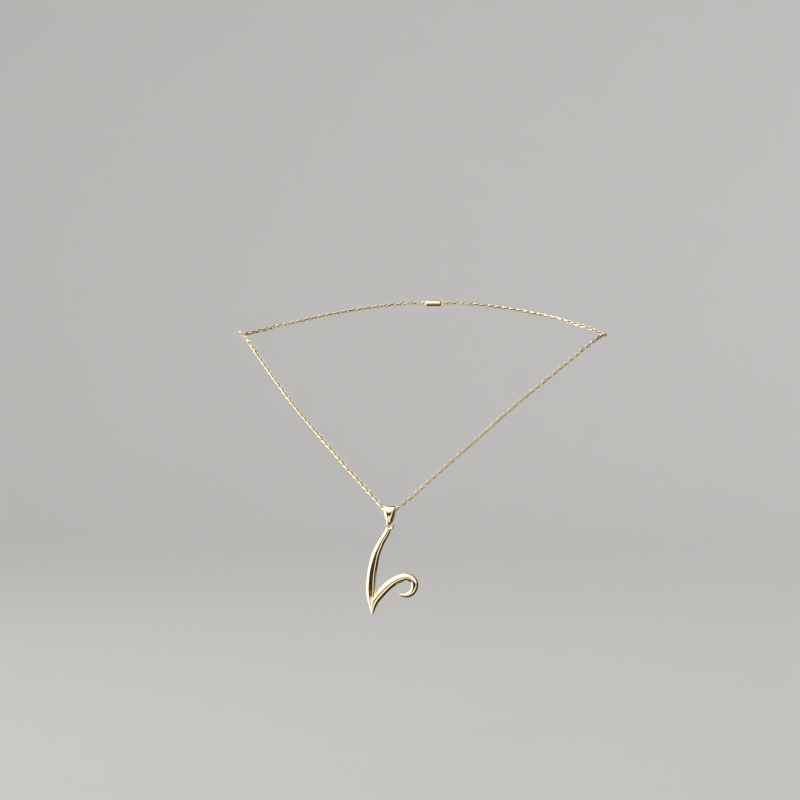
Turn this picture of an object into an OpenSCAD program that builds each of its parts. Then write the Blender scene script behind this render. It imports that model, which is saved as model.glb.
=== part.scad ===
// Initial pendant: a domed script letter on a tapered bail, worn on a fine cable chain.
// The origin is the middle of the neck loop, level with the shoulders: +X is the wearer's
// left, +Y is the wearer's back and +Z is up. All sizes are in millimetres. Elsewhere in
// the comments, left and right are as seen from the front.

/* [Letter] */
// Width of the letter, from the long stroke's left side to the curl's right side
letter_w = 22.7; // [18:0.1:30]
// Height of the letter, from the middle of its ring to its tip
letter_h = 37.6; // [30:0.1:48]
// Width of the long stroke where it is widest
stroke_w = 4.3; // [3.4:0.1:5.4]
// Thickness of the long stroke from its flat back to its crown
letter_t = 1.7; // [1.2:0.05:2.4]

/* [Ring] */
// Outside diameter of the ring on the letter's top end
ring_d = 3.5; // [3.3:0.05:4.6]
// Thickness of the ring's wire
ring_wire = 0.95; // [0.7:0.05:1.1]

/* [Bail] */
// Width of the bail at its top
bail_w = 4.7; // [4:0.1:7]
// Distance from the chain's line in the bail to the ring's wire
bail_drop = 5.8; // [5:0.1:8]
// Thickness of the bail along its edges
bail_wall = 0.45; // [0.35:0.05:0.6]
// How far the bail's faces bulge between their edges
bail_dome = 0.85; // [0.4:0.05:1.1]

/* [Chain] */
// Width of a chain link, which is the chain's diameter
chain_w = 1.5; // [1:0.1:2]
// How far the chain's low point lies in front of the shoulders
hang_forward = 66; // [60:1:72]
// How far the chain's low point lies below the shoulders
hang_down = 75.8; // [70:0.2:80]

/* [Clasp] */
// Length of the clasp's barrel
clasp_l = 7; // [5:0.5:10]
// Diameter of the clasp's barrel
clasp_d = 2.6; // [2:0.1:4]
// Outside diameter of the eye at each end of the clasp
eye_d = 2.2; // [1.8:0.1:3]
// Thickness of the eye's wire
eye_wire = 0.55; // [0.4:0.05:0.7]

/* [Fit] */
// Clearance round the chain and round the ring, inside the bail
play = 0.25; // [0.2:0.05:0.4]

/* [Hidden] */

// Where the pendant hangs on the chain, and the middle of the clasp at the nape
hang = [0, -hang_forward, -hang_down];
nape = [0, 33.5, 14.5];

// The ring's wire follows a circle of this radius, round a hole of this radius
ring_r = (ring_d - ring_wire) / 2;
hole_r = ring_d / 2 - ring_wire;
pin_z = hang[2] - bail_drop;
ring_z = pin_z - ring_r;

// Inner radii of the bail's loop, round the chain and round the ring's wire
top_r = chain_w / 2 + play;
foot_r = ring_wire / 2 + play;

// The foot of the bail is as wide as the ring's hole lets it be, less a small clearance
foot_gap = 0.12;
foot_w = 2 * (sqrt(pow(hole_r, 2) - pow(hole_r - play, 2)) - foot_gap);

// Outline of the bail's leaf, down from its top edge to the ring's wire
// columns: share of the height, share of half the width
LEAF = [
    [0.00, 0.97],
    [0.12, 1.00],
    [0.28, 0.98],
    [0.42, 0.94],
    [0.54, 0.88],
    [0.64, 0.79],
    [0.73, 0.69],
    [0.82, 0.61],
    [0.92, 0.53],
    [1.00, 0.40],
];
// Below the leaf the foot turns under the ring's wire: where, as a share of the inner
// radius there, and the share of the foot's width that is left at its lowest point
foot_turn = 0.6;
foot_end = 0.42;
// A face is fullest this share of the drop below the chain's line, and its bulge fades out
// over the second share of the drop, above that and below it, down to this least share
full_share = 0.44;
fade_share = 0.78;
least_share = 0.1;
// How square the bulge is across a face: 2 is a plain arch
face_power = 2.4;

// The long stroke of the letter, from its ring down to the tip
// columns: share of the width, of the height, of the stroke's width, of the thickness
LONG_STROKE = [
    [0.385, 0.090, 0.60, 0.74],
    [0.324, 0.152, 0.63, 0.76],
    [0.271, 0.209, 0.69, 0.80],
    [0.191, 0.321, 0.80, 0.87],
    [0.144, 0.434, 0.90, 0.94],
    [0.112, 0.547, 0.95, 0.98],
    [0.097, 0.660, 0.99, 1.00],
    [0.095, 0.740, 0.98, 0.97],
    [0.099, 0.829, 0.77, 0.87],
    [0.108, 0.908, 0.49, 0.62],
    [0.120, 0.990, 0.18, 0.38],
];
// Where the long stroke leaves the ring, in degrees from straight down, its width there as
// a share of the stroke's width, its thickness there as a share of the letter's, and how
// far its end rounds into the ring's wire, as a share of half that width
join_angle = 20;
join_w = 0.5;
join_t = 0.68;
join_round = 0.35;

// The curled stroke, from the tip up and round to its rounded end
// columns: share of the width, of the height, of the stroke's width, of the thickness
CURLED_STROKE = [
    [0.124, 0.987, 0.20, 0.47],
    [0.133, 0.921, 0.58, 0.79],
    [0.161, 0.862, 0.75, 0.96],
    [0.218, 0.806, 0.83, 1.00],
    [0.293, 0.752, 0.86, 0.98],
    [0.409, 0.680, 0.86, 0.94],
    [0.544, 0.619, 0.84, 0.90],
    [0.671, 0.585, 0.81, 0.88],
    [0.768, 0.569, 0.73, 0.82],
    [0.857, 0.587, 0.72, 0.82],
    [0.918, 0.632, 0.73, 0.82],
    [0.920, 0.693, 0.69, 0.80],
    [0.871, 0.745, 0.62, 0.75],
    [0.787, 0.775, 0.49, 0.67],
    [0.698, 0.776, 0.35, 0.58],
    [0.668, 0.772, 0.29, 0.54],
];
// Where the letter's left side lies from the ring's middle, as a share of the width
letter_left = 0.455;
// How far round a stroke's rounded end is drawn, in degrees, and how its crown falls there
cap_angle = 86;
cap_fall = 0.6;
// The letter's flat back lies this share of its thickness behind the hang line, which
// puts its centre of mass under the ring, so that it hangs plumb
back_share = 0.37;
letter_back = hang[1] + letter_t * back_share;

// Route of the chain, chosen by hand: down the left side from the nape over the shoulder
// to the bail, then up the right side from the bail over the shoulder to the nape
CHAIN_LEFT = [
    [-19, 32.5, 14], [-37, 29, 11.5], [-54, 23.5, 8], [-69, 17, 4], [-79, 10, 1],
    [-82.5, 4.5, 0], [-82, -0.5, 1], [-75.5, -7.5, -5], [-63, -19.5, -18.5], [-50, -31, -32],
    [-36.5, -42.5, -44.5], [-22.5, -53, -57.5], [-8.5, -62, -70.2],
];
CHAIN_RIGHT = [
    [8.5, -62, -70.8], [21.5, -53.5, -58], [34.5, -44, -45.5], [47.5, -33, -32.5],
    [61.5, -20.5, -19.5], [75.5, -7.5, -6.5], [82, -0.5, -1.2], [82.5, 4.5, -1],
    [79, 10, 0.5], [69, 17, 4], [54, 23.5, 8], [37, 29, 11.5], [19, 32.5, 14],
];
// In the bail the chain runs level, and it turns up and back at the bail's ends
// columns: how far outward from where the turn starts, back and up
CHAIN_TURN = [
    [-1.0, 0.0, 0.0],
    [0.0, 0.0, 0.0],
    [0.9, 0.25, 0.25],
    [2.1, 1.2, 1.5],
];
turn_inset = 0.3;
turn_start = bail_w / 2 - turn_inset;

// Sides of the chain's tube and steps between two points of its route
CHAIN_SIDES = 8;
CHAIN_STEPS = 2;
// Steps between two rows of a stroke, facets across its dome and rings in a rounded end
STROKE_STEPS = 4;
DOME_FACETS = 10;
CAP_RINGS = 4;
// Levels of the bail from top to foot, the turn in degrees that is left out at both of
// its ends, facets across each face, and steps between two rows of the leaf's outline
BAIL_LEVELS = 22;
LEVEL_INSET = 6;
LEAF_FACETS = 8;
LEAF_STEPS = 3;
$fn = 64;

// The clasp's end, where the chain starts with a small gap to the eye
eye_x = clasp_l / 2 + eye_d / 2 - eye_wire / 2;
chain_end_gap = 0.15;
chain_start = eye_x + eye_d / 2 + chain_end_gap;

function unit(v) = v / norm(v);

// A point between b and c on a smooth curve through a, b, c and d
function between(a, b, c, d, t) =
    0.5 * (2 * b + (c - a) * t + (2 * a - 5 * b + 4 * c - d) * t * t
    + (3 * b - a - 3 * c + d) * t * t * t);

// A smooth run through rows of numbers, with so many steps between two rows
function smooth_run(rows, steps) = let (last = len(rows) - 1) [
    for (i = [0 : last - 1])
        for (k = [0 : steps - 1])
            between(rows[max(i - 1, 0)], rows[i], rows[i + 1], rows[min(i + 2, last)],
                k / steps),
    rows[last],
];

// The direction of a run of points at one of them
function heading(run, i) = unit(run[min(i + 1, len(run) - 1)] - run[max(i - 1, 0)]);

// A closed solid through rings of equally many points, flat at both ends
module loft(rings) {
    count = len(rings[0]);
    last = len(rings) - 1;
    sides = [
        for (i = [0 : last - 1])
            for (k = [0 : count - 1])
                let (a = i * count + k, b = i * count + (k + 1) % count)
                    each [[a, b, b + count], [a, b + count, a + count]],
    ];
    start = [for (k = [0 : count - 1]) count - 1 - k];
    end = [for (k = [0 : count - 1]) last * count + k];
    polyhedron([for (ring = rings) each ring], concat([start, end], sides), 4);
}

// One row of a stroke: x, z, half its width and its thickness in the letter's own place
function stroke_row(row) = [
    (row[0] - letter_left) * letter_w,
    ring_z - row[1] * letter_h,
    row[2] * stroke_w / 2,
    row[3] * letter_t,
];

// A domed section of a stroke: flat at the back, half an ellipse in front
function dome_section(centre, side, half, crown, back) = [
    for (k = [0 : DOME_FACETS])
        let (angle = 180 * k / DOME_FACETS)
            [
                centre[0] + side[0] * half * cos(angle),
                back - crown * sin(angle),
                centre[1] + side[1] * half * cos(angle),
            ],
];

// The rings of a stroke with rounded ends, of which the first may be flatter than a round
function stroke_rings(run, start_round) = let (
    last = len(run) - 1,
    spots = [for (row = run) [row[0], row[1]]],
    start_cap = [for (k = [CAP_RINGS : -1 : 1]) [0, k / CAP_RINGS, -start_round]],
    end_cap = [for (k = [1 : CAP_RINGS]) [last, k / CAP_RINGS, 1]],
    body = [for (i = [0 : last]) [i, 0, 0]]
) [
    for (stop = concat(start_cap, body, end_cap))
        let (
            i = stop[0],
            along = heading(spots, i),
            angle = cap_angle * stop[1],
            half = run[i][2] * cos(angle),
            centre = spots[i] + along * stop[2] * run[i][2] * sin(angle),
            crown = run[i][3] * pow(cos(angle), cap_fall)
        )
            dome_section(centre, [along[1], -along[0]], half, crown, letter_back),
];

module long_stroke() {
    start = [
        -ring_r * sin(join_angle),
        ring_z - ring_r * cos(join_angle),
        join_w * stroke_w / 2,
        join_t * letter_t,
    ];
    rows = concat([start], [for (row = LONG_STROKE) stroke_row(row)]);
    loft(stroke_rings(smooth_run(rows, STROKE_STEPS), join_round));
}

module curled_stroke() {
    rows = [for (row = CURLED_STROKE) stroke_row(row)];
    loft(stroke_rings(smooth_run(rows, STROKE_STEPS), 1));
}

// A ring of round wire that stands in the XZ plane
module wire_ring(outside_d, wire_d) {
    rotate([90, 0, 0])
        rotate_extrude()
            translate([(outside_d - wire_d) / 2, 0])
                circle(d = wire_d);
}

module letter() {
    color("gold")
        union() {
            translate([hang[0], hang[1], ring_z])
                wire_ring(ring_d, ring_wire);
            long_stroke();
            curled_stroke();
        }
}

// Half the bail's outside depth along its edges, at a height over the chain's line
outer_top = top_r + bail_wall;
outer_foot = foot_r + bail_wall;
side_tilt = asin((outer_top - outer_foot) / bail_drop);
function edge_depth(z) =
    z > -outer_top * sin(side_tilt)
        ? sqrt(max(pow(outer_top, 2) - z * z, 0))
        : z < -bail_drop - outer_foot * sin(side_tilt)
            ? sqrt(max(pow(outer_foot, 2) - pow(z + bail_drop, 2), 0))
            : (outer_top + z * sin(side_tilt)) / cos(side_tilt);

// Half the bail's width at a height over the chain's line
leaf_h = outer_top + bail_drop;
LEAF_RUN = smooth_run(
    concat(
        [for (row = LEAF) [outer_top - row[0] * leaf_h, row[1] * bail_w / 2]],
        [
            [-bail_drop - foot_r * foot_turn, foot_w / 2],
            [-bail_drop - outer_foot, foot_w * foot_end],
        ]
    ), LEAF_STEPS);
function half_width(z) = lookup(-z, [for (row = LEAF_RUN) [-row[0], row[1]]]);

// How far a face bulges at a height and at a share of half the width there
function face_bulge(z, share) =
    bail_dome * (1 - pow(abs(share), face_power)) * min(edge_depth(z) / outer_foot, 1)
    * max(1 - pow((z / bail_drop + full_share) / fade_share, 2), least_share);

// A level section of the bail's outside: a domed front and a domed back
function bail_section(z) = let (half = half_width(z), depth = edge_depth(z)) [
    for (face = [-1, 1])
        for (k = [0 : LEAF_FACETS])
            let (share = -face * (2 * k / LEAF_FACETS - 1))
                [
                    hang[0] + half * share,
                    hang[1] + face * (depth + face_bulge(z, share)),
                    hang[2] + z,
                ],
];

module bail_outside() {
    levels = [
        for (k = [0 : BAIL_LEVELS])
            let (angle = LEVEL_INSET + (180 - 2 * LEVEL_INSET) * k / BAIL_LEVELS)
                (outer_top - bail_drop - outer_foot) / 2
                    + (outer_top + bail_drop + outer_foot) / 2 * cos(angle),
    ];
    loft([for (z = levels) bail_section(z)]);
}

// The loop's inside: round the chain, round the ring's wire, and straight between them.
// The straight walls stay a hair inside the two rounds, so that the faces cross cleanly.
hair = 0.01;
module bail_inside() {
    through = 2 * bail_w;
    translate(hang)
        rotate([0, 90, 0]) {
            cylinder(h = through, r = top_r, center = true);
            translate([bail_drop, 0, 0])
                cylinder(h = through, r = foot_r, center = true);
            linear_extrude(through, center = true)
                polygon([
                    [0, hair - top_r], [bail_drop, hair - foot_r],
                    [bail_drop, foot_r - hair], [0, top_r - hair],
                ]);
        }
}

module bail() {
    color("goldenrod")
        difference() {
            bail_outside();
            bail_inside();
        }
}

// The whole route: from the clasp down the left side, through the bail and up to the clasp
chain_route = concat(
    [[-chain_start, nape[1], nape[2]]],
    CHAIN_LEFT,
    [
        for (i = [len(CHAIN_TURN) - 1 : -1 : 0])
            hang + [-turn_start - CHAIN_TURN[i][0], CHAIN_TURN[i][1], CHAIN_TURN[i][2]],
        hang,
        for (turn = CHAIN_TURN)
            hang + [turn_start + turn[0], turn[1], turn[2]],
    ],
    CHAIN_RIGHT,
    [[chain_start, nape[1], nape[2]]]
);

module chain() {
    run = smooth_run(chain_route, CHAIN_STEPS);
    rings = [
        for (i = [0 : len(run) - 1])
            let (
                along = heading(run, i),
                side = unit(cross(along, [0, 0, 1])),
                up = cross(side, along)
            )
                [
                    for (k = [0 : CHAIN_SIDES - 1])
                        let (angle = 360 * (k + 0.5) / CHAIN_SIDES)
                            run[i] + chain_w / 2 * (side * cos(angle) + up * sin(angle)),
                ],
    ];
    color("khaki")
        loft(rings);
}

// Outline of the clasp's barrel, with rounded shoulders and a fine groove at its middle
// columns: share of the radius, share of half the length
BARREL = [
    [0.00, -1.00], [0.58, -1.00], [0.84, -0.94], [0.97, -0.83], [1.00, -0.70], [1.00, -0.06],
    [0.90, 0.00],
    [1.00, 0.06], [1.00, 0.70], [0.97, 0.83], [0.84, 0.94], [0.58, 1.00], [0.00, 1.00],
];

module clasp() {
    color("gold")
        translate(nape)
            union() {
                rotate([0, 90, 0])
                    rotate_extrude()
                        polygon([for (row = BARREL) [row[0] * clasp_d, row[1] * clasp_l] / 2]);
                for (side = [-1, 1])
                    translate([side * eye_x, 0, 0])
                        wire_ring(eye_d, eye_wire);
            }
}

letter();
bail();
chain();
clasp();
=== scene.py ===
"""A script initial pendant on its cable chain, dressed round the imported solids.

The script works in metres in the part's own frame: the origin is the middle of the neck
loop, +X is the wearer's left, +Y the wearer's back and +Z is up. The sizes of the pieces
are written in millimetres, as a goldsmith gives them, and MM turns them into metres.
"""

import logging
import random
from bisect import bisect_right
from dataclasses import dataclass, field
from enum import Enum
from math import asin, copysign, cos, pi, radians, sin, sqrt
from typing import NamedTuple, Sequence

import bmesh
import bpy
import numpy as np
from bpy.types import ID, Material, Node, NodeSocket, NodeTree, Object, World
from mathutils import Matrix, Vector


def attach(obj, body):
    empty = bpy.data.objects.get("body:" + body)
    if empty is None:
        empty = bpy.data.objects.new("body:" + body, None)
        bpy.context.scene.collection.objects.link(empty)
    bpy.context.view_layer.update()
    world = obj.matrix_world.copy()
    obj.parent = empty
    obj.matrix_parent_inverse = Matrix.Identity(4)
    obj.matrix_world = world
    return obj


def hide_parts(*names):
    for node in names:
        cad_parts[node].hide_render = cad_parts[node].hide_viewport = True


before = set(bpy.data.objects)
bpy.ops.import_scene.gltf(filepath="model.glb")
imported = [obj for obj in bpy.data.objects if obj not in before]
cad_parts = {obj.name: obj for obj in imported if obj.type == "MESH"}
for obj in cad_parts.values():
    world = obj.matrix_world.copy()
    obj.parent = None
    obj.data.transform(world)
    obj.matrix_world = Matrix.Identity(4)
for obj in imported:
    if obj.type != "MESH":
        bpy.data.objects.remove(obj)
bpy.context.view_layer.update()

MM = 0.001
LOG = logging.getLogger("pendant")

FLOAT, VECTOR, COLOUR = "NodeSocketFloat", "NodeSocketVector", "NodeSocketColor"

# Fineness of the metal's patterns, and how deep its lines are beside its slow swell
SWELL_SCALE, HAZE_SCALE, HAZE_GRAIN_SCALE, PATCH_SCALE = 420.0, 260.0, 3640.0, 350.0
LINE_DEPTH = 0.04

# How far a worn edge takes the rubbed colour, what wear and lines add to the roughness, and how
# much of the slow swell the bump shows
EDGE_SHARE, EDGE_ROUGH, LINE_ROUGH, SWELL_SHARE = 0.8, 0.06, 0.05, 0.6

# The values that each mesh carries at its points, for its metal to read
STATES = ("wear", "dull_and_shade", "tone")

Row = Sequence[float]
Colour = tuple[float, float, float]


class Body(Enum):
    """The parts that move on their own, by the names that the record gives them."""

    NECKLACE = "necklace"
    BAIL = "bail"
    LETTER = "letter"


class Slot(Enum):
    """The record's material slots."""

    POLISHED = "polished_gold"
    CHAIN = "chain_gold"
    CLASP = "clasp_gold"


def between(a: Row, b: Row, c: Row, d: Row, t: float) -> tuple[float, ...]:
    """The point a share t of the way from b to c, on the smooth curve through four rows."""
    return tuple(0.5 * (2 * q + (r - p) * t + (2 * p - 5 * q + 4 * r - s) * t * t
                        + (3 * q - p - 3 * r + s) * t * t * t)
                 for p, q, r, s in zip(a, b, c, d))


def smooth_run(rows: Sequence[Row], steps: int) -> list[tuple[float, ...]]:
    """A smooth run through rows of numbers.

    Args:
        rows: The rows that the run passes through.
        steps: How many steps it takes between two rows.

    Returns:
        The finer run.
    """
    last = len(rows) - 1
    run = [between(rows[max(i - 1, 0)], rows[i], rows[i + 1], rows[min(i + 2, last)], k / steps)
           for i in range(last) for k in range(steps)]
    return run + [tuple(rows[last])]


def spread(start: float, end: float, steps: int) -> list[float]:
    """The numbers from start to end, both included, in so many even steps."""
    return [start + (end - start) * k / steps for k in range(steps + 1)]


def round_angles(count: int) -> list[float]:
    """The angles of so many even steps once round."""
    return spread(0, 2 * pi, count)[:-1]


def put_in_scene(name: str, data: ID) -> Object:
    """Links a new object to the scene.

    Args:
        name: Its name.
        data: Its mesh, lamp or camera.

    Returns:
        The object.
    """
    made = bpy.data.objects.new(name, data)
    bpy.context.scene.collection.objects.link(made)
    return made


class Skin(NamedTuple):
    """How worn the metal is at one point, and how matt and dark; in chain links, painted shade."""

    wear: float = 0.0
    dull_and_shade: float = 0.0


@dataclass
class Shell:
    """Points in metres, faces and the state of the metal at each point, for one mesh."""

    points: list[Vector] = field(default_factory=list)
    faces: list[tuple[int, ...]] = field(default_factory=list)
    states: list[tuple[float, float, float]] = field(default_factory=list)

    def add_rings(self, rings: Sequence[Sequence[Vector]], skin: Sequence[Skin],
                  closed: bool, tone: float = 0.5) -> "Shell":
        """Adds a tube through rings of equally many points.

        Args:
            rings: The rings, each a closed outline, in millimetres.
            skin: The state of the metal at each point of a ring.
            closed: Whether the last ring joins the first, or flat faces close both ends.
            tone: The shade of this stretch of metal, from 0 to 1.

        Returns:
            This shell.
        """
        start = len(self.points)
        count = len(rings[0])
        last = len(rings) - 1
        for ring in rings:
            self.points.extend(point * MM for point in ring)
            self.states.extend((state.wear, state.dull_and_shade, tone) for state in skin)
        for i in range(last + 1 if closed else last):
            a = start + i * count
            b = start + (i + 1) % (last + 1) * count
            for k in range(count):
                n = (k + 1) % count
                self.faces.append((a + k, a + n, b + n, b + k))
        if not closed:
            self.faces.append(tuple(start + count - 1 - k for k in range(count)))
            self.faces.append(tuple(start + last * count + k for k in range(count)))
        return self

    def to_object(self, name: str) -> Object:
        """Makes the mesh, its faces turned outward.

        Args:
            name: The object's name.

        Returns:
            The object.
        """
        mesh = bpy.data.meshes.new(name)
        mesh.from_pydata([tuple(p) for p in self.points], [], self.faces)
        for label, values in zip(STATES, zip(*self.states)):
            mesh.attributes.new(label, "FLOAT", "POINT").data.foreach_set("value", values)
        solid = bmesh.new()
        solid.from_mesh(mesh)
        if solid.calc_volume(signed=True) < 0:
            mesh.flip_normals()
        solid.free()
        mesh.update()
        return put_in_scene(name, mesh)


def fused(name: str, parts: Sequence[Object]) -> Object:
    """Makes one outer skin of several closed pieces, as solder and casting do.

    Args:
        name: The name of the fused piece.
        parts: The closed pieces, which are used up.

    Returns:
        The fused piece.
    """
    whole = parts[0]
    for part in parts[1:]:
        union = whole.modifiers.new("union", "BOOLEAN")
        union.operation = "UNION"
        union.solver = "EXACT"
        union.object = part
    bpy.context.view_layer.update()
    skin = bpy.data.meshes.new_from_object(
        whole.evaluated_get(bpy.context.evaluated_depsgraph_get()))
    for part in parts:
        bpy.data.objects.remove(part)
    skin.name = name
    return put_in_scene(name, skin)


def seat(piece: Object, crease_deg: float, body: Body, node: str,
         material: Material) -> None:
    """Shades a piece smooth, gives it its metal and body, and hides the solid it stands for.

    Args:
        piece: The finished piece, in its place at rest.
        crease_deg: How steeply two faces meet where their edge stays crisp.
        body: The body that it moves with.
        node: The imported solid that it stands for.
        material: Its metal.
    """
    piece.data.shade_smooth()
    piece.data.set_sharp_from_angle(angle=radians(crease_deg))
    piece.data.materials.clear()
    piece.data.materials.append(material)
    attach(piece, body.value)
    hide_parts(node)
    LOG.info("%s: %d faces, for %s, on body %s", piece.name, len(piece.data.polygons), node,
             body.value)


class Graph:
    """A short way to write shader nodes: each call adds a node and links what goes in."""

    def __init__(self, tree: NodeTree) -> None:
        """Args: tree: The node tree that the nodes go into."""
        self.tree = tree

    def node(self, kind: str, inputs: dict[str | int, object] | None = None,
             **settings: object) -> Node:
        """Adds one node.

        Args:
            kind: The node's type, such as ShaderNodeMath.
            inputs: The output or the value that goes into each socket, by name or number.
            settings: The node's own settings.

        Returns:
            The new node.
        """
        made = self.tree.nodes.new(kind)
        for key, value in settings.items():
            setattr(made, key, value)
        for key, value in (inputs or {}).items():
            if isinstance(value, NodeSocket):
                self.tree.links.new(value, made.inputs[key])
            else:
                made.inputs[key].default_value = value
        return made

    def math(self, operation: str, *values: object, clamp: bool = False) -> NodeSocket:
        """The result of a Math node with these values."""
        return self.node("ShaderNodeMath", dict(enumerate(values)), operation=operation,
                         use_clamp=clamp).outputs[0]

    def mix_colour(self, share: object, a: object, b: object) -> NodeSocket:
        """A colour between a and b, by share."""
        return self.node("ShaderNodeMix", {0: share, 6: a, 7: b}, data_type="RGBA").outputs[2]

    def noise(self, place: object, scale: object, detail: float,
              roughness: float = 0.5) -> NodeSocket:
        """The value of a Noise Texture node."""
        inputs = {"Vector": place, "Scale": scale, "Detail": detail, "Roughness": roughness}
        return self.node("ShaderNodeTexNoise", inputs).outputs[0]

    def ramp(self, value: object, low: float, high: float, to_low: float = 0.0,
             to_high: float = 1.0, smooth: bool = False) -> NodeSocket:
        """A value moved from one range to another, held at the range's ends."""
        return self.node("ShaderNodeMapRange", {0: value, 1: low, 2: high, 3: to_low, 4: to_high},
                         interpolation_type="SMOOTHSTEP" if smooth else "LINEAR").outputs[0]


def fresh_graph(owner: Material | World) -> Graph:
    """Empties a node tree to build it anew.

    Args:
        owner: The material or the world that it belongs to.

    Returns:
        A graph on the tree.
    """
    owner.use_nodes = True
    owner.node_tree.nodes.clear()
    return Graph(owner.node_tree)


class EffectGroup:
    """A shader node group with named inputs and outputs, built once."""

    def __init__(self, name: str, inputs: dict[str, str], outputs: dict[str, str]) -> None:
        """Makes the group with its sockets.

        Args:
            name: The group's name.
            inputs: The kind of each input.
            outputs: The kind of each output.
        """
        self.tree = bpy.data.node_groups.new(name, "ShaderNodeTree")
        for way, kinds in (("INPUT", inputs), ("OUTPUT", outputs)):
            for label, kind in kinds.items():
                self.tree.interface.new_socket(name=label, in_out=way, socket_type=kind)
        self.graph = Graph(self.tree)
        self.given = self.tree.nodes.new("NodeGroupInput").outputs
        self.out = self.tree.nodes.new("NodeGroupOutput").inputs

    def put_out(self, label: str, value: NodeSocket) -> None:
        """Sends a value to one of the group's outputs."""
        self.tree.links.new(value, self.out[label])

    def place(self, graph: Graph, **inputs: object) -> Node:
        """Places the group in a material.

        Args:
            graph: The material's graph.
            inputs: The values of its inputs, with _ for each space in a name.

        Returns:
            The group's node.
        """
        named = {key.replace("_", " "): value for key, value in inputs.items()}
        return graph.node("ShaderNodeGroup", named, node_tree=self.tree)


def polishing_marks() -> EffectGroup:
    """Fine lines left by the polishing wheel, and the slow swell of a hand-finished skin.

    Returns:
        A group that gives a mask of the lines and a height.
    """
    group = EffectGroup("polishing_marks", {"Place": VECTOR, "Line Scale": FLOAT},
                        {"Lines": FLOAT, "Height": FLOAT})
    g, given = group.graph, group.given
    lines = []
    for turn, stretch in (((0.3, 0.2, 0.5), (1.0, 0.06, 0.4)), ((1.1, 0.7, 2.1), (0.08, 1.0, 0.5))):
        turned = g.node("ShaderNodeMapping", {"Vector": given["Place"], "Rotation": turn,
                                              "Scale": stretch})
        noise = g.noise(turned.outputs[0], given["Line Scale"], 2.0, 0.55)
        lines.append(g.ramp(noise, 0.60, 0.74))
    both = g.math("MAXIMUM", lines[0], lines[1])
    swell = g.noise(given["Place"], SWELL_SCALE, 1.0, 0.4)
    group.put_out("Lines", both)
    group.put_out("Height", g.math("ADD", swell, g.math("MULTIPLY", both, -LINE_DEPTH)))
    return group


def handling_haze() -> EffectGroup:
    """Soft patches of haze that fingers leave on polished metal.

    Returns:
        A group that gives a mask, 0 where the metal is clean.
    """
    group = EffectGroup("handling_haze", {"Place": VECTOR, "Amount": FLOAT}, {"Haze": FLOAT})
    g, given = group.graph, group.given
    broad = g.noise(given["Place"], HAZE_SCALE, 3.0, 0.6)
    fine = g.noise(given["Place"], HAZE_GRAIN_SCALE, 2.0, 0.7)
    patch = g.ramp(broad, 0.48, 0.68, smooth=True)
    grain = g.ramp(fine, 0.35, 0.65, 0.5, 1.0)
    group.put_out("Haze", g.math("MULTIPLY", g.math("MULTIPLY", patch, grain), given["Amount"]))
    return group


def alloy_tone() -> EffectGroup:
    """The colour of a gold alloy: paler on rubbed edges, deeper in slow patches.

    Returns:
        A group that gives the colour.
    """
    inputs = {"Place": VECTOR, "Body": COLOUR, "Deep": COLOUR, "Rubbed": COLOUR, "Edge": FLOAT}
    group = EffectGroup("alloy_tone", inputs, {"Colour": COLOUR})
    g, given = group.graph, group.given
    noise = g.noise(given["Place"], PATCH_SCALE, 4.0, 0.6)
    deep = g.ramp(noise, 0.42, 0.72, 0.0, 0.55, smooth=True)
    base = g.mix_colour(deep, given["Body"], given["Deep"])
    group.put_out("Colour", g.mix_colour(given["Edge"], base, given["Rubbed"]))
    return group


class Effects(NamedTuple):
    """The effects that the metals share."""

    marks: EffectGroup
    haze: EffectGroup
    tone: EffectGroup


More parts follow.
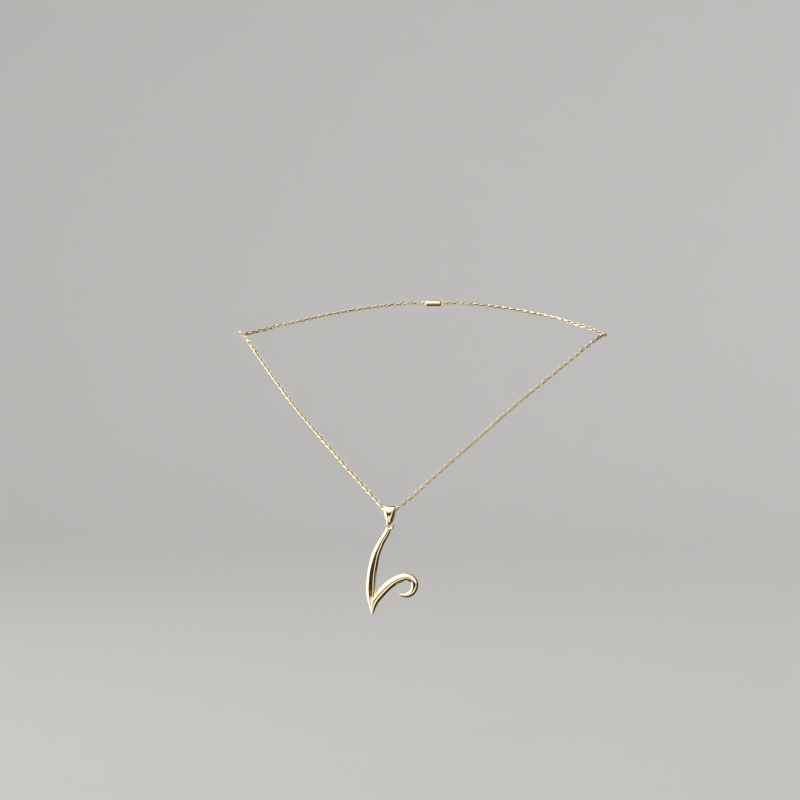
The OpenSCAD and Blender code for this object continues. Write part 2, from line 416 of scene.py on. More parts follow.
@dataclass(frozen=True)
class GoldFinish:
    """One finish of the gold: its alloy's colour and how its surface was worked.

    Attributes:
        deep: Colour of the darker patches.
        dull_and_shade: Colour of matt points; inside the chain's links, painted shade.
        body: Colour of the clean metal.
        rubbed: Colour of worn edges.
        hazed: How much the haze adds to the roughness.
        line_scale: Fineness of the polishing lines, in lines to the metre.
        swell: Height of the slow swell, in metres.
        piece_tone: How much the shade of each link counts.
    """

    name: str
    deep: Colour
    roughness: float
    dull_and_shade: Colour
    dull_roughness: float
    body: Colour = (0.90, 0.74, 0.50)
    rubbed: Colour = (0.95, 0.83, 0.62)
    hazed: float = 0.05
    line_scale: float = 9000.0
    swell: float = 0.00004
    piece_tone: float = 0.0

    def material(self, effects: Effects) -> Material:
        """Builds the finish.

        Args:
            effects: The shared effects.

        Returns:
            The material.
        """
        made = bpy.data.materials.new(self.name)
        g = fresh_graph(made)
        place = g.node("ShaderNodeTexCoord").outputs["Object"]
        wear, dull_and_shade, shade = (
            g.node("ShaderNodeAttribute", attribute_name=name).outputs["Fac"] for name in STATES)
        marks = effects.marks.place(g, Place=place, Line_Scale=self.line_scale)
        haze = effects.haze.place(g, Place=place, Amount=self.hazed)
        edge = g.math("MULTIPLY", wear, EDGE_SHARE)
        tone = effects.tone.place(g, Place=place, Body=(*self.body, 1), Deep=(*self.deep, 1),
                                  Rubbed=(*self.rubbed, 1), Edge=edge)
        colour = tone.outputs["Colour"]
        if self.piece_tone:
            share = g.math("MULTIPLY", shade, self.piece_tone)
            colour = g.mix_colour(share, colour, (*self.deep, 1))
        # Matt points take the darker colour: inside the chain's links it is painted shade.
        colour = g.mix_colour(dull_and_shade, colour, (*self.dull_and_shade, 1))
        rough = g.ramp(dull_and_shade, 0.0, 1.0, self.roughness, self.dull_roughness)
        rough = g.math("ADD", rough, haze.outputs["Haze"])
        rough = g.math("MULTIPLY_ADD", marks.outputs["Lines"], LINE_ROUGH, rough)
        rough = g.math("MULTIPLY_ADD", wear, EDGE_ROUGH, rough, clamp=True)
        bump = g.node("ShaderNodeBump", {"Strength": SWELL_SHARE, "Distance": self.swell,
                                         "Height": marks.outputs["Height"]})
        skin = g.node("ShaderNodeBsdfPrincipled", {"Base Color": colour, "Metallic": 1.0,
                                                   "Roughness": rough, "Normal": bump.outputs[0]})
        g.node("ShaderNodeOutputMaterial", {"Surface": skin.outputs[0]})
        return made


@dataclass(frozen=True)
class Finishes:
    """The finishes of the necklace's pieces."""

    letter: GoldFinish = GoldFinish(
        "letter_gold", deep=(0.84, 0.65, 0.40), roughness=0.07, dull_and_shade=(0.80, 0.64, 0.40),
        dull_roughness=0.34)
    bail: GoldFinish = GoldFinish(
        "bail_gold", deep=(0.82, 0.63, 0.38), roughness=0.09, dull_and_shade=(0.62, 0.46, 0.26),
        dull_roughness=0.38, line_scale=11000.0)
    # The chain's near-black brown colour is painted shade on the inner side of each link's wire.
    chain: GoldFinish = GoldFinish(
        "chain_gold", deep=(0.50, 0.38, 0.18), roughness=0.14, dull_and_shade=(0.20, 0.13, 0.05),
        dull_roughness=0.45, body=(0.74, 0.61, 0.36), rubbed=(0.92, 0.81, 0.56), hazed=0.04,
        line_scale=14000.0, swell=0.00001, piece_tone=0.5)
    clasp: GoldFinish = GoldFinish(
        "clasp_gold", deep=(0.74, 0.55, 0.26), roughness=0.12, dull_and_shade=(0.60, 0.44, 0.22),
        dull_roughness=0.40, body=(0.84, 0.66, 0.36), rubbed=(0.95, 0.82, 0.56), hazed=0.07,
        swell=0.00003)


@dataclass
class Letter:
    """The script initial: two domed strokes and a ring, cast and soldered as one.

    Attributes:
        pin_drop: How far the ring's wire lies below the hanging point.
        height: From the middle of the ring to the letter's tip.
        stroke: Width of the long stroke at its widest.
        thickness: From the flat back to the crown.
        left: From the letter's left side to the ring's middle, as a share of the width.
        back_share: How far the back lies behind the hang line, as a share of the thickness.
        join_deg: Where the long stroke leaves the ring, from straight down.
        join_broad: Its width there, as a share of the stroke's.
        join_tall: Its thickness there, as a share of the letter's.
        join_round: How far it rounds into the ring, as a share of half its width.
        cap_deg: How far round a rounded end is drawn.
        cap_fall: How fast the crown falls off there.
        back_round: Largest radius of the corner between the back and a side.
        corner_share: Its largest share of half the width or of the thickness.
        corner_wear: How worn it is at the back.
        wear_fade: How fast the wear fades from the sides to the crown.
    """

    metal: Material
    hang: Vector
    pin_drop: float
    width: float = 22.7
    height: float = 37.6
    stroke: float = 4.3
    thickness: float = 1.7
    ring_outside: float = 3.5
    ring_wire: float = 0.95
    left: float = 0.455
    back_share: float = 0.37
    join_deg: float = 20.0
    join_broad: float = 0.50
    join_tall: float = 0.68
    join_round: float = 0.35
    cap_deg: float = 86.0
    cap_fall: float = 0.6
    back_round: float = 0.16
    corner_share: float = 0.4
    steps: int = 14
    dome_points: int = 36
    corner_points: int = 4
    cap_rings: int = 10
    corner_wear: float = 0.4
    wear_fade: float = 9.0
    crease_deg: float = 32.0

    # Shares of the letter's width, of its height, of the stroke's width and of the thickness
    LONG_STROKE = (
        (0.385, 0.090, 0.60, 0.74), (0.324, 0.152, 0.63, 0.76), (0.271, 0.209, 0.69, 0.80),
        (0.191, 0.321, 0.80, 0.87), (0.144, 0.434, 0.90, 0.94), (0.112, 0.547, 0.95, 0.98),
        (0.097, 0.660, 0.99, 1.00), (0.095, 0.740, 0.98, 0.97), (0.099, 0.829, 0.77, 0.87),
        (0.108, 0.908, 0.49, 0.62), (0.120, 0.990, 0.18, 0.38),
    )
    CURLED_STROKE = (
        (0.124, 0.987, 0.20, 0.47), (0.133, 0.921, 0.58, 0.79), (0.161, 0.862, 0.75, 0.96),
        (0.218, 0.806, 0.83, 1.00), (0.293, 0.752, 0.86, 0.98), (0.409, 0.680, 0.86, 0.94),
        (0.544, 0.619, 0.84, 0.90), (0.671, 0.585, 0.81, 0.88), (0.768, 0.569, 0.73, 0.82),
        (0.857, 0.587, 0.72, 0.82), (0.918, 0.632, 0.73, 0.82), (0.920, 0.693, 0.69, 0.80),
        (0.871, 0.745, 0.62, 0.75), (0.787, 0.775, 0.49, 0.67), (0.698, 0.776, 0.35, 0.58),
        (0.668, 0.772, 0.29, 0.54),
    )

    @property
    def ring_radius(self) -> float:
        """Radius of the circle that the ring's wire follows."""
        return (self.ring_outside - self.ring_wire) / 2

    @property
    def ring_height(self) -> float:
        """Height of the ring's middle."""
        return self.hang.z - self.pin_drop - self.ring_radius

    @property
    def back(self) -> float:
        """Depth of the flat back."""
        return self.hang.y + self.thickness * self.back_share

    def section(self, half: float, crown: float) -> list[tuple[float, float]]:
        """Draws the outline of a stroke: flat back, rounded corners and a domed front.

        Args:
            half: Half the stroke's width there.
            crown: Its thickness there.

        Returns:
            Points as distance to the side and distance in front of the back.
        """
        r = min(self.back_round, half * self.corner_share, crown * self.corner_share)
        right = [(half - r + r * sin(a), r - r * cos(a))
                 for a in spread(0, pi / 2, self.corner_points)[:-1]]
        dome = [(half * cos(a), r + (crown - r) * sin(a))
                for a in spread(0, pi, self.dome_points)]
        return right + dome + [(-side, front) for side, front in reversed(right)]

    def section_skin(self) -> list[Skin]:
        """Finishes a section: worn back corners and a satin back.

        Returns:
            The state of the metal at each of its points.
        """
        low, count = self.corner_wear, self.dome_points
        corner = [Skin(low + (1 - low) * k / self.corner_points, 1 - k / self.corner_points)
                  for k in range(self.corner_points)]
        dome = [Skin(max(0.0, 1 - self.wear_fade * min(k, count - k) / count))
                for k in range(count + 1)]
        return corner + dome + corner[::-1]

    def stroke_shell(self, rows: Sequence[Row], start_round: float) -> Shell:
        """Shapes one stroke as a closed shell with rounded ends.

        Args:
            rows: Its x, z, half width and thickness, row by row.
            start_round: How far its first end is rounded out, where 1 is a full round.

        Returns:
            The shell.
        """
        run = smooth_run(rows, self.steps)
        last = len(run) - 1
        spots = [Vector((x, 0.0, z)) for x, z, _, _ in run]
        shares = spread(0, 1, self.cap_rings)[1:]
        stops = [(0, share, -start_round) for share in reversed(shares)]
        stops += [(i, 0.0, 0.0) for i in range(last + 1)]
        stops += [(last, share, 1.0) for share in shares]
        rings = []
        for i, share, reach in stops:
            angle = radians(self.cap_deg * share)
            along = (spots[min(i + 1, last)] - spots[max(i - 1, 0)]).normalized()
            side = Vector((along.z, 0.0, -along.x))
            _, _, full, crown = run[i]
            centre = spots[i] + along * (reach * full * sin(angle))
            outline = self.section(full * cos(angle), crown * cos(angle) ** self.cap_fall)
            rings.append([centre + side * across + Vector((0.0, self.back - front, 0.0))
                          for across, front in outline])
        return Shell().add_rings(rings, self.section_skin(), closed=False)

    def build(self) -> None:
        """Casts the letter and solders its ring on, as one piece."""
        angle = radians(self.join_deg)
        start = (-self.ring_radius * sin(angle),
                 self.ring_height - self.ring_radius * cos(angle),
                 self.join_broad * self.stroke / 2, self.join_tall * self.thickness)
        long_rows, curl_rows = (
            [((across - self.left) * self.width, self.ring_height - down * self.height,
              broad * self.stroke / 2, tall * self.thickness)
             for across, down, broad, tall in rows]
            for rows in (self.LONG_STROKE, self.CURLED_STROKE))
        middle = Vector((self.hang.x, self.hang.y, self.ring_height))
        parts = [
            self.stroke_shell([start, *long_rows], self.join_round).to_object("long_stroke"),
            self.stroke_shell(curl_rows, 1.0).to_object("curled_stroke"),
            wire_ring(middle, self.ring_radius, self.ring_wire / 2).to_object("ring"),
        ]
        piece = fused("letter_casting", parts)
        seat(piece, self.crease_deg, Body.LETTER, "letter", self.metal)


def wire_ring(middle: Vector, radius: float, wire_radius: float, around: int = 72,
              sides: int = 28) -> Shell:
    """Bends a ring of round wire that stands in the XZ plane.

    Args:
        middle: Its middle, in millimetres.
        radius: Radius of the circle that the wire follows.
        wire_radius: Radius of the wire.
        around: Steps round the ring.
        sides: Sides of the wire.

    Returns:
        The shell.
    """
    rings = []
    for a in round_angles(around):
        outward = Vector((cos(a), 0.0, sin(a)))
        rings.append([middle + outward * (radius + wire_radius * cos(b))
                      + Vector((0.0, wire_radius * sin(b), 0.0))
                      for b in round_angles(sides)])
    return Shell().add_rings(rings, [Skin()] * sides, closed=True)


@dataclass
class Bail:
    """The tapered bail: one folded, domed loop from the chain down to the letter's ring.

    Attributes:
        ring: The letter, whose ring hangs in its foot.
        drop: From the chain's line to the ring's wire.
        wall: Thickness along its edges.
        dome: How far its faces bulge.
        play: Clearance round the chain and round the ring's wire.
        foot_gap: Clearance to the sides of the ring's hole.
        foot_turn: Where the foot turns, as a share of its inner radius.
        foot_end: Share of its width that is left at its lowest point.
        full_share: Where a face is fullest, as a share of the drop.
        fade_share: Over what share of the drop the bulge fades out.
        least_share: The share of the bulge that is left there.
        face_power: How square the bulge is, where 2 is a plain arch.
        rim_round: Largest radius of the outer rim.
        rim_shares: Its largest shares of half the width and of the wall.
        mouth_round: Largest radius of the inner rim.
        mouth_share: Its largest share of either.
    """

    metal: Material
    hang: Vector
    chain_width: float
    ring: Letter
    width: float = 4.7
    drop: float = 5.8
    wall: float = 0.45
    dome: float = 0.85
    play: float = 0.25
    foot_gap: float = 0.12
    foot_turn: float = 0.6
    foot_end: float = 0.42
    full_share: float = 0.44
    fade_share: float = 0.78
    least_share: float = 0.1
    face_power: float = 2.4
    rim_round: float = 0.2
    rim_shares: tuple[float, float] = (0.45, 0.6)
    mouth_round: float = 0.17
    mouth_share: float = 0.3
    face_points: int = 28
    rim_points: int = 6
    outline_steps: int = 8
    top_steps: int = 44
    foot_steps: int = 28
    side_steps: int = 26
    crease_deg: float = 40.0

    # Shares of the bail's height and of half its width, down from its top edge
    LEAF = ((0.00, 0.97), (0.12, 1.00), (0.28, 0.98), (0.42, 0.94), (0.54, 0.88), (0.64, 0.79),
            (0.73, 0.69), (0.82, 0.61), (0.92, 0.53), (1.00, 0.40))

    @property
    def top_radius(self) -> float:
        """Inner radius of the loop round the chain."""
        return self.chain_width / 2 + self.play

    @property
    def foot_radius(self) -> float:
        """Inner radius of the loop round the ring's wire."""
        return self.ring.ring_wire / 2 + self.play

    @property
    def foot_width(self) -> float:
        """Width of the foot, as the ring's hole lets it be."""
        hole = self.ring.ring_outside / 2 - self.ring.ring_wire
        return 2 * (sqrt(hole ** 2 - (hole - self.play) ** 2) - self.foot_gap)

    def outline(self) -> list[tuple[float, float]]:
        """Draws the bail's side as seen from the front.

        Returns:
            Heights over the chain's line and half widths there, from the top down.
        """
        top = self.top_radius + self.wall
        tall = top + self.drop
        foot = self.foot_width / 2
        rows = [(top - down * tall, half * self.width / 2) for down, half in self.LEAF]
        rows.append((-self.drop - self.foot_radius * self.foot_turn, foot))
        rows.append((-self.drop - self.foot_radius - self.wall, foot * self.foot_end))
        return smooth_run(rows, self.outline_steps)

    def contour(self) -> list[tuple[float, float, float, float]]:
        """Draws the loop as seen from its side, once round.

        Returns:
            Rows of inner depth, inner height, and the depth and height of the way outward.
        """
        tilt = asin((self.top_radius - self.foot_radius) / self.drop)
        front = pi + tilt
        arcs = ((0.0, self.top_radius, -tilt, front, self.top_steps),
                (-self.drop, self.foot_radius, front, 2 * pi - tilt, self.foot_steps))
        rows = []
        for number, (height, radius, start, end, steps) in enumerate(arcs):
            rows += [(radius * cos(a), height + radius * sin(a), cos(a), sin(a))
                     for a in spread(start, end, steps)]
            other = arcs[1 - number]
            goal = (other[1] * cos(end), other[0] + other[1] * sin(end))
            y, z, out_y, out_z = rows[-1]
            rows += [(y + (goal[0] - y) * t, z + (goal[1] - z) * t, out_y, out_z)
                     for t in spread(0, 1, self.side_steps)[1:-1]]
        return rows

    def band(self, half: float) -> list[tuple[float, float, Skin]]:
        """Draws the band's cross-section, once round.

        Args:
            half: Half the band's width there, in millimetres.

        Returns:
            Rows of distance across, share of the wall from the inside, and the metal's state.
        """
        rim = min(self.rim_round, half * self.rim_shares[0], self.wall * self.rim_shares[1])
        mouth = min(self.mouth_round, half * self.mouth_share, self.wall * self.mouth_share)
        rows = [((half - rim) * (2 * k / self.face_points - 1), 1.0, Skin())
                for k in range(self.face_points + 1)]
        turns = spread(0, pi / 2, self.rim_points)
        outer = [(half - rim + rim * sin(a), 1 - rim * (1 - cos(a)) / self.wall,
                  Skin(wear=sin(a))) for a in turns[1:]]
        inner = [(half - mouth + mouth * cos(a), mouth * (1 - sin(a)) / self.wall,
                  Skin(cos(a), sin(a))) for a in turns]
        rows += outer + inner
        floor = half - mouth
        steps = self.face_points // 2
        rows += [(floor * (1 - 2 * k / steps), 0.0, Skin(dull_and_shade=1.0)) for k in range(1, steps)]
        rows += [(-across, share, state) for across, share, state in reversed(outer + inner)]
        return rows

    def build(self) -> None:
        """Bends the loop."""
        heights, halves = zip(*reversed(self.outline()))
        outer_foot = self.foot_radius + self.wall
        skin = [state for _, _, state in self.band(self.width / 2)]
        rings = []
        for depth, height, out_y, out_z in self.contour():
            outer_z = height + out_z * self.wall
            half = float(np.interp(outer_z, heights, halves))
            outer_depth = abs(depth + out_y * self.wall)
            fade = (outer_z / self.drop + self.full_share) / self.fade_share
            swell = self.dome * min(outer_depth / outer_foot, 1.0)
            swell *= max(1 - fade ** 2, self.least_share)
            ring = []
            for across, share, _ in self.band(half):
                lift = self.wall * share
                bulge = swell * (1 - abs(across / half) ** self.face_power) * share
                ring.append(self.hang + Vector((
                    across, depth + out_y * lift + copysign(bulge, out_y),
                    height + out_z * lift)))
            rings.append(ring)
        piece = Shell().add_rings(rings, skin, closed=True).to_object("bail_loop")
        seat(piece, self.crease_deg, Body.BAIL, "bail", self.metal)


class ChainRoute:
    """The chain's line from the clasp's one eye, through the bail, to its other eye."""

    LEFT = (
        (-19, 32.5, 14), (-37, 29, 11.5), (-54, 23.5, 8), (-69, 17, 4), (-79, 10, 1),
        (-82.5, 4.5, 0), (-82, -0.5, 1), (-75.5, -7.5, -5), (-63, -19.5, -18.5), (-50, -31, -32),
        (-36.5, -42.5, -44.5), (-22.5, -53, -57.5), (-8.5, -62, -70.2),
    )
    RIGHT = (
        (8.5, -62, -70.8), (21.5, -53.5, -58), (34.5, -44, -45.5), (47.5, -33, -32.5),
        (61.5, -20.5, -19.5), (75.5, -7.5, -6.5), (82, -0.5, -1.2), (82.5, 4.5, -1),
        (79, 10, 0.5), (69, 17, 4), (54, 23.5, 8), (37, 29, 11.5), (19, 32.5, 14),
    )
    # How far outward from where the turn starts, back and up, on both sides of the bail
    TURN = ((-1.0, 0.0, 0.0), (0.0, 0.0, 0.0), (0.9, 0.25, 0.25), (2.1, 1.2, 1.5))

    def __init__(self, hang: Vector, nape: Vector, end: float, turn_start: float,
                 steps: int = 24) -> None:
        """Draws the line.

        Args:
            hang: Where the pendant hangs on the chain.
            nape: The middle of the clasp.
            end: How far from the middle of the clasp the line starts and ends.
            turn_start: Where the chain starts to turn up, from the bail's middle.
            steps: Steps between two points of the route.
        """
        low = [hang + Vector((-turn_start - x, y, z)) for x, y, z in reversed(self.TURN)]
        low += [hang] + [hang + Vector((turn_start + x, y, z)) for x, y, z in self.TURN]
        points = [nape - Vector((end, 0, 0)), *map(Vector, self.LEFT), *low,
                  *map(Vector, self.RIGHT), nape + Vector((end, 0, 0))]
        self.points = [Vector(p) for p in smooth_run(points, steps)]
        self.marks = [0.0]
        for a, b in zip(self.points, self.points[1:]):
            self.marks.append(self.marks[-1] + (b - a).length)
        self.hang_mark = self.marks[(1 + len(self.LEFT) + len(self.TURN)) * steps]

    @property
    def length(self) -> float:
        """Length of the line in millimetres."""
        return self.marks[-1]

    def at(self, distance: float) -> Vector:
        """Finds a point of the line, which runs straight on past both ends.

        Args:
            distance: The distance in millimetres, below 0 before the line's start.

        Returns:
            The point, in millimetres.
        """
        held = min(max(distance, 0.0), self.length)
        low = min(bisect_right(self.marks, held), len(self.marks) - 1) - 1
        share = (held - self.marks[low]) / (self.marks[low + 1] - self.marks[low])
        past = Vector((distance - held, 0.0, 0.0))
        return self.points[low].lerp(self.points[low + 1], share) - past


@dataclass
class CableChain:
    """The diamond-cut cable chain: oval links, each turned a quarter from the next.

    Attributes:
        overrun: How far the first link's middle lies inside the route's end.
        wire: Thickness of the wire along and across the link.
        flat: Its thickness square to the link.
        pitch: From joint to joint, before it is fitted.
        slack: How much longer the hole is than the pitch.
        lean_deg: How far the links lean over from lying flat on the body.
        ease_links: Over how many links that lean grows from nothing at the clasp.
        roll_deg: How far a link may stray from it.
        rubbed: How worn the metal is outside.
        inner_dull_and_shade: How fast the wire darkens inward: painted shade, and less polish.
    """

    metal: Material
    route: ChainRoute
    overrun: float = 0.06
    width: float = 1.5
    wire: float = 0.46
    flat: float = 0.44
    pitch: float = 1.78
    slack: float = 0.06
    around: int = 24
    seed: int = 11
    lean_deg: float = 25.0
    ease_links: float = 9.0
    roll_deg: float = 3.0
    rubbed: float = 0.6
    inner_dull_and_shade: float = 1.1
    crease_deg: float = 34.0

    # The wire's section, in shares of half its thickness across the link and square to it:
    # cut flat outside and on both faces, round inside
    SECTION = ((1.0, 0.42), (0.42, 1.0), (-0.40, 0.92), (-0.84, 0.55), (-1.0, 0.0),
               (-0.84, -0.55), (-0.40, -0.92), (0.42, -1.0), (1.0, -0.42))
    # Where along Y the chain lies on the chest, the shoulders and the nape, and the way out
    # from the body there
    REST_Y = (-14.0, 2.0, 22.0)
    REST_WAY = ((0.19, -0.98, 0.0), (0.0, -0.1, 1.0), (0.0, 1.0, 0.1))

    def outline(self, pitch: float) -> list[tuple[Vector, Vector]]:
        """Draws the middle line of a link's wire, once round.

        Args:
            pitch: The fitted distance between two joints.

        Returns:
            Pairs of point and outward direction: x lies along the chain, y across it.
        """
        bend = (self.width - self.wire) / 2
        straight = (pitch + self.slack + self.wire) / 2 - bend
        rows = []
        for end, first in ((1, -90.0), (-1, 90.0)):
            for turn in spread(first, first + 180.0, self.around // 2 - 2):
                out = Vector((cos(radians(turn)), sin(radians(turn)), 0.0))
                rows.append((Vector((end * straight, 0.0, 0.0)) + out * bend, out))
            rows.append((Vector((0.0, end * bend, 0.0)), Vector((0.0, float(end), 0.0))))
        return rows

    def outward(self, spot: Vector) -> Vector:
        """Tells the way out from the body that the chain lies on.

        Args:
            spot: A point of the chain, in millimetres.

        Returns:
            A direction: forward on the chest, up on the shoulders and back at the nape.
        """
        low = 0 if spot.y < self.REST_Y[1] else 1
        start, end = self.REST_Y[low:low + 2]
        share = min(max((spot.y - start) / (end - start), 0.0), 1.0)
        return Vector(self.REST_WAY[low]).lerp(Vector(self.REST_WAY[low + 1]), share)

    def marks(self) -> list[float]:
        """Spaces the links, with one of them inside the bail.

        Returns:
            How far along the route each link's middle lies. Their number on either side of
            the bail is odd, so that the last ones stand square to the clasp's eyes.
        """
        hang, end = self.route.hang_mark, self.route.length - self.overrun
        made = [hang]
        for goal in (self.overrun, end):
            count = 2 * round((abs(goal - hang) / self.pitch - 1) / 2) + 1
            made += [hang + (goal - hang) * k / count for k in range(1, count + 1)]
        return sorted(made)

    def frames(self, marks: Sequence[float]) -> list[tuple[Vector, Matrix]]:
        """Places the links.

        Args:
            marks: How far along the route each link's middle lies.

        Returns:
            Each link's middle, and its axes along, across and square to it.
        """
        cuts = [2 * marks[0] - marks[1], *marks, 2 * marks[-1] - marks[-2]]
        joints = [self.route.at((a + b) / 2) for a, b in zip(cuts, cuts[1:])]
        made = []
        for a, b in zip(joints, joints[1:]):
            middle, along = (a + b) / 2, (b - a).normalized()
            side = self.outward(middle).cross(along).normalized()
            made.append((middle, Matrix((along, side, along.cross(side))).transposed()))
        return made

    def build(self) -> None:
        """Links the chain."""
        marks = self.marks()
        count = len(marks)
        middle_link = marks.index(self.route.hang_mark)
        pitch = max(b - a for a, b in zip(marks, marks[1:]))
        rng = random.Random(self.seed)
        outline = self.outline(pitch)
        profile = [(across * self.wire / 2, up * self.flat / 2) for across, up in self.SECTION]
        # Worn outside; darker and rougher towards the link's hole: painted shade, and less polish.
        skin = [Skin(self.rubbed) if across > 0
                else Skin(dull_and_shade=min(1.0, -self.inner_dull_and_shade * across))
                for across, _ in self.SECTION]
        shell = Shell()
        for i, (middle, axes) in enumerate(self.frames(marks)):
            quarter = 90.0 * ((i - middle_link) % 2)
            ease = min(1.0, min(i, count - 1 - i) / self.ease_links)
            stray = rng.uniform(-self.roll_deg, self.roll_deg)
            roll = radians(quarter + ease * (self.lean_deg + stray))
            turned = axes @ Matrix.Rotation(roll, 3, "X")
            rings = [[middle + turned @ (spot + out * across + Vector((0, 0, up)))
                      for across, up in profile] for spot, out in outline]
            shell.add_rings(rings, skin, closed=True, tone=rng.random())
        LOG.info("chain: %d links, %.4f mm from joint to joint", count, pitch)
        piece = shell.to_object("chain_links")
        seat(piece, self.crease_deg, Body.NECKLACE, "chain", self.metal)


@dataclass
class Clasp:
    """The plain barrel clasp at the nape, with an eye at each end.

    Attributes:
        nape: Its middle.
        end_gap: From an eye to the end of the chain's solid.
    """

    metal: Material
    nape: Vector
    length: float = 7.0
    diameter: float = 2.6
    eye_outside: float = 2.2
    eye_wire: float = 0.55
    end_gap: float = 0.15
    barrel_wear: float = 0.1
    barrel_steps: int = 4
    barrel_sides: int = 56
    eye_steps: int = 48
    eye_sides: int = 20
    crease_deg: float = 35.0

    # Share of the radius and share of half the length: the flat end, and from its rim to the
    # groove round the middle
    END = ((0.02, 1.0), (0.3, 1.0))
    BARREL = ((0.58, 1.00), (0.84, 0.94), (0.97, 0.83), (1.00, 0.70), (1.00, 0.38), (1.00, 0.06),
              (0.97, 0.02), (0.90, 0.00))

    @property
    def eye_place(self) -> float:
        """Distance from the clasp's middle to the middle of an eye."""
        return (self.length + self.eye_outside - self.eye_wire) / 2

    @property
    def chain_end(self) -> float:
        """Distance from the clasp's middle to the end of the chain's solid."""
        return self.eye_place + self.eye_outside / 2 + self.end_gap

    def barrel_shell(self) -> Shell:
        """Turns the barrel.

        Returns:
            The shell.
        """
        rows = [*self.END, *smooth_run(self.BARREL, self.barrel_steps)]
        rows += [(r, -x) for r, x in reversed(rows[:-1])]
        rings = [[self.nape + Vector((x * self.length / 2,
                                      r * self.diameter / 2 * cos(a),
                                      r * self.diameter / 2 * sin(a)))
                  for a in round_angles(self.barrel_sides)] for r, x in rows]
        skin = [Skin(self.barrel_wear)] * self.barrel_sides
        return Shell().add_rings(rings, skin, closed=False)

    def build(self) -> None:
        """Solders the eyes to the barrel."""
        parts = [self.barrel_shell().to_object("barrel")]
        for side in (-1, 1):
            middle = self.nape + Vector((side * self.eye_place, 0, 0))
            eye = wire_ring(middle, (self.eye_outside - self.eye_wire) / 2, self.eye_wire / 2,
                            self.eye_steps, self.eye_sides)
            parts.append(eye.to_object("eye"))
        piece = fused("clasp_barrel", parts)
        seat(piece, self.crease_deg, Body.NECKLACE, "clasp", self.metal)


@dataclass(frozen=True)
class LightPanel:
    """One soft panel of light round the object, its place and its size in degrees.

    Attributes:
        turn: Its middle round the object, from straight in front to the wearer's left.
        half_turn: Half its breadth.
        rise: Its middle over the horizon.
        half_rise: Half its height.
        soft: How soft its rim is.
    """

    name: str
    turn: float
    half_turn: float
    rise: float
    half_rise: float
    soft: float
    strength: float
    colour: Colour


def soft_panel() -> EffectGroup:
    """One panel of light on the studio's sky.

    Returns:
        A group that gives a mask of the panel for a direction.
    """
    inputs = ("Turn", "Rise", "Centre Turn", "Half Turn", "Centre Rise", "Half Rise", "Soft")
    group = EffectGroup("soft_panel", dict.fromkeys(inputs, FLOAT), {"Mask": FLOAT})
    g, given = group.graph, group.given
    off = g.math("WRAP", g.math("SUBTRACT", given["Turn"], given["Centre Turn"]), pi, -pi)
    masks = []
    for away, half in ((off, given["Half Turn"]),
                       (g.math("SUBTRACT", given["Rise"], given["Centre Rise"]),
                        given["Half Rise"])):
        inside = g.math("SUBTRACT", half, g.math("ABSOLUTE", away))
        share = g.math("DIVIDE", inside, given["Soft"])
        masks.append(g.ramp(share, -1.0, 1.0, smooth=True))
    group.put_out("Mask", g.math("MULTIPLY", masks[0], masks[1]))
    return group


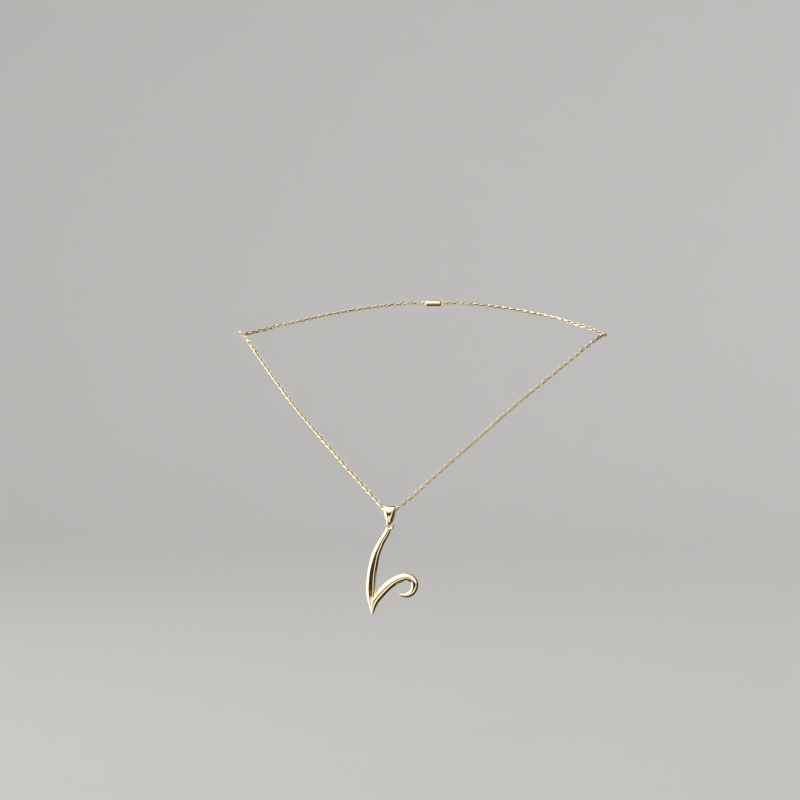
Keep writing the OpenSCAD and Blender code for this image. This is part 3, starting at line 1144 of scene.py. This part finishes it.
@dataclass
class Studio:
    """The pale round stage, the panels of soft light and the camera.

    Attributes:
        floor: Height of the floor.
        sweep: Radius of the curve from the floor into the wall.
        wall: Height of the wall.
        pale: Colour of the stage.
        grain: Colour of its paper's grain.
        backdrop: Colour of the sky where the camera looks.
        gloom: What the metal sees between the panels.
        camera_turn: Degrees round to the wearer's left, from straight in front.
        camera_pan: Degrees that it looks to the side of the object's middle.
        lamp_aim: Height of the point that the lamp shines at.
    """

    floor: float = -0.172
    floor_radius: float = 1.6
    sweep: float = 1.1
    wall: float = 3.2
    floor_rows: int = 12
    sweep_rows: int = 24
    sides: int = 128
    pale: Colour = (0.57, 0.57, 0.575)
    grain: Colour = (0.5, 0.5, 0.5)
    backdrop: Colour = (0.62, 0.62, 0.63)
    gloom: Colour = (0.050, 0.038, 0.024)
    camera_turn: float = 11.0
    camera_pan: float = 0.384
    camera_away: float = 1.3
    camera_height: float = -0.0296
    camera_lens: float = 131.5
    lamp_place: tuple[float, float, float] = (-1.15, -0.75, 0.95)
    lamp_aim: float = -0.06
    lamp_size: float = 0.7
    lamp_energy: float = 14.0
    lamp_colour: Colour = (1.0, 0.97, 0.92)

    PANELS = (
        LightPanel("key", -100, 52, 23, 51, 3, 1.9, (1.0, 0.99, 0.96)),
        LightPanel("overhead", -26, 80, 50, 44, 4, 1.95, (1.0, 0.99, 0.96)),
        LightPanel("side_strip", 33, 7, 0, 20, 3, 1.3, (1.0, 0.97, 0.92)),
        LightPanel("table_glow", 0, 28, -22, 12, 3, 1.15, (1.0, 0.98, 0.94)),
        LightPanel("rear_fill", 180, 52, 8, 50, 10, 0.34, (1.0, 0.95, 0.88)),
    )

    def set_camera(self) -> None:
        """Sets the camera at the photograph's angle, with its framing."""
        turn = radians(self.camera_turn)
        panned = radians(self.camera_turn + self.camera_pan)
        forward = Vector((-sin(turn), cos(turn), 0.0))
        gaze = Vector((-sin(panned), cos(panned), 0.0))
        data = bpy.data.cameras.new("camera")
        data.sensor_width = 36.0
        data.lens = self.camera_lens
        data.clip_start, data.clip_end = 0.01, 50.0
        camera = put_in_scene("camera", data)
        camera.location = forward * -self.camera_away + Vector((0.0, 0.0, self.camera_height))
        camera.rotation_mode = "QUATERNION"
        camera.rotation_quaternion = gaze.to_track_quat("-Z", "Y")
        bpy.context.scene.camera = camera

    def lay_floor(self) -> None:
        """Lays the pale floor, which sweeps up all round into a wall."""
        profile = [(r, self.floor) for r in spread(0, self.floor_radius, self.floor_rows)[1:]]
        profile += [(self.floor_radius + self.sweep * sin(a),
                     self.floor + self.sweep * (1 - cos(a)))
                    for a in spread(0, pi / 2, self.sweep_rows)[1:]]
        profile.append((self.floor_radius + self.sweep, self.floor + self.wall))
        points = [(0.0, 0.0, self.floor)]
        for radius, height in profile:
            points += [(radius * cos(a), radius * sin(a), height)
                       for a in round_angles(self.sides)]
        steps = [(k, (k + 1) % self.sides) for k in range(self.sides)]
        faces: list[tuple[int, ...]] = [(0, 1 + k, 1 + n) for k, n in steps]
        for a in range(1, len(points) - self.sides, self.sides):
            b = a + self.sides
            faces += [(a + k, b + k, b + n, a + n) for k, n in steps]
        mesh = bpy.data.meshes.new("stage_floor")
        mesh.from_pydata(points, [], faces)
        mesh.shade_smooth()
        mesh.materials.append(self.paper())
        stage = put_in_scene("stage_floor", mesh)
        stage.visible_glossy = False

    def paper(self) -> Material:
        """Makes the pale paper of the stage, with a faint grain.

        Returns:
            The material.
        """
        made = bpy.data.materials.new("stage_paper")
        g = fresh_graph(made)
        grain = g.noise(g.node("ShaderNodeTexCoord").outputs["Object"], 900.0, 3.0)
        shade = g.ramp(grain, 0.3, 0.7, 0.0, 0.08)
        colour = g.mix_colour(shade, (*self.pale, 1), (*self.grain, 1))
        bump = g.node("ShaderNodeBump", {"Strength": 0.15, "Distance": 0.0002, "Height": grain})
        skin = g.node("ShaderNodeBsdfPrincipled", {"Base Color": colour, "Roughness": 0.9,
                                                   "Normal": bump.outputs[0]})
        g.node("ShaderNodeOutputMaterial", {"Surface": skin.outputs[0]})
        return made

    def hang_panels(self) -> None:
        """Hangs the soft panels all round, with a plain pale sky where the camera looks."""
        panel = soft_panel()
        world = bpy.data.worlds.new("studio")
        bpy.context.scene.world = world
        g = fresh_graph(world)
        way = g.node("ShaderNodeSeparateXYZ",
                     {0: g.node("ShaderNodeTexCoord").outputs["Generated"]}).outputs
        turn = g.math("ARCTAN2", way[0], g.math("MULTIPLY", way[1], -1.0))
        rise = g.math("ARCSINE", way[2])
        light = (*self.gloom, 1)
        for spec in self.PANELS:
            mask = panel.place(
                g, Turn=turn, Rise=rise, Centre_Turn=radians(spec.turn),
                Half_Turn=radians(spec.half_turn), Centre_Rise=radians(spec.rise),
                Half_Rise=radians(spec.half_rise), Soft=radians(spec.soft))
            bright = (*(c * spec.strength for c in spec.colour), 1)
            light = g.node("ShaderNodeMix", {0: mask.outputs["Mask"], 6: light, 7: bright},
                           data_type="RGBA", blend_type="LIGHTEN").outputs[2]
            LOG.info("light panel %s hung", spec.name)
        seen = g.node("ShaderNodeBackground", {"Color": (*self.backdrop, 1), "Strength": 1.0})
        studio = g.node("ShaderNodeBackground", {"Color": light, "Strength": 1.0})
        ray = g.node("ShaderNodeLightPath").outputs["Is Camera Ray"]
        both = g.node("ShaderNodeMixShader", {0: ray, 1: studio.outputs[0], 2: seen.outputs[0]})
        g.node("ShaderNodeOutputWorld", {"Surface": both.outputs[0]})

    def hang_lamp(self) -> None:
        """Hangs one square lamp in the key panel, for a soft shadow on the floor."""
        data = bpy.data.lights.new("key_lamp", "AREA")
        data.shape = "SQUARE"
        data.size = self.lamp_size
        data.energy = self.lamp_energy
        data.color = self.lamp_colour
        lamp = put_in_scene("key_lamp", data)
        lamp.location = self.lamp_place
        beam = Vector((0, 0, self.lamp_aim)) - lamp.location
        lamp.rotation_mode = "QUATERNION"
        lamp.rotation_quaternion = beam.to_track_quat("-Z", "Y")
        lamp.visible_camera = False


def main() -> None:
    """Builds the necklace piece by piece, then its stage and light."""
    logging.basicConfig(level=logging.INFO, format="%(name)s: %(message)s")
    bpy.context.scene.view_settings.view_transform = "Standard"
    studio = Studio()
    studio.set_camera()

    finishes = Finishes()
    effects = Effects(polishing_marks(), handling_haze(), alloy_tone())
    hang, nape = Vector((0.0, -66.0, -75.8)), Vector((0.0, 33.5, 14.5))

    chain_width, bail_drop, turn_inset = 1.5, 5.8, 0.3
    letter = Letter(finishes.letter.material(effects), hang, bail_drop)
    bail = Bail(finishes.bail.material(effects), hang, chain_width, letter, drop=bail_drop)
    clasp = Clasp(finishes.clasp.material(effects), nape)
    route = ChainRoute(hang, nape, clasp.chain_end, bail.width / 2 - turn_inset)
    chain = CableChain(finishes.chain.material(effects), route, width=chain_width)
    for piece in (letter, bail, chain, clasp):
        piece.build()

    studio.lay_floor()
    studio.hang_panels()
    studio.hang_lamp()


if __name__ == "__main__":
    main()
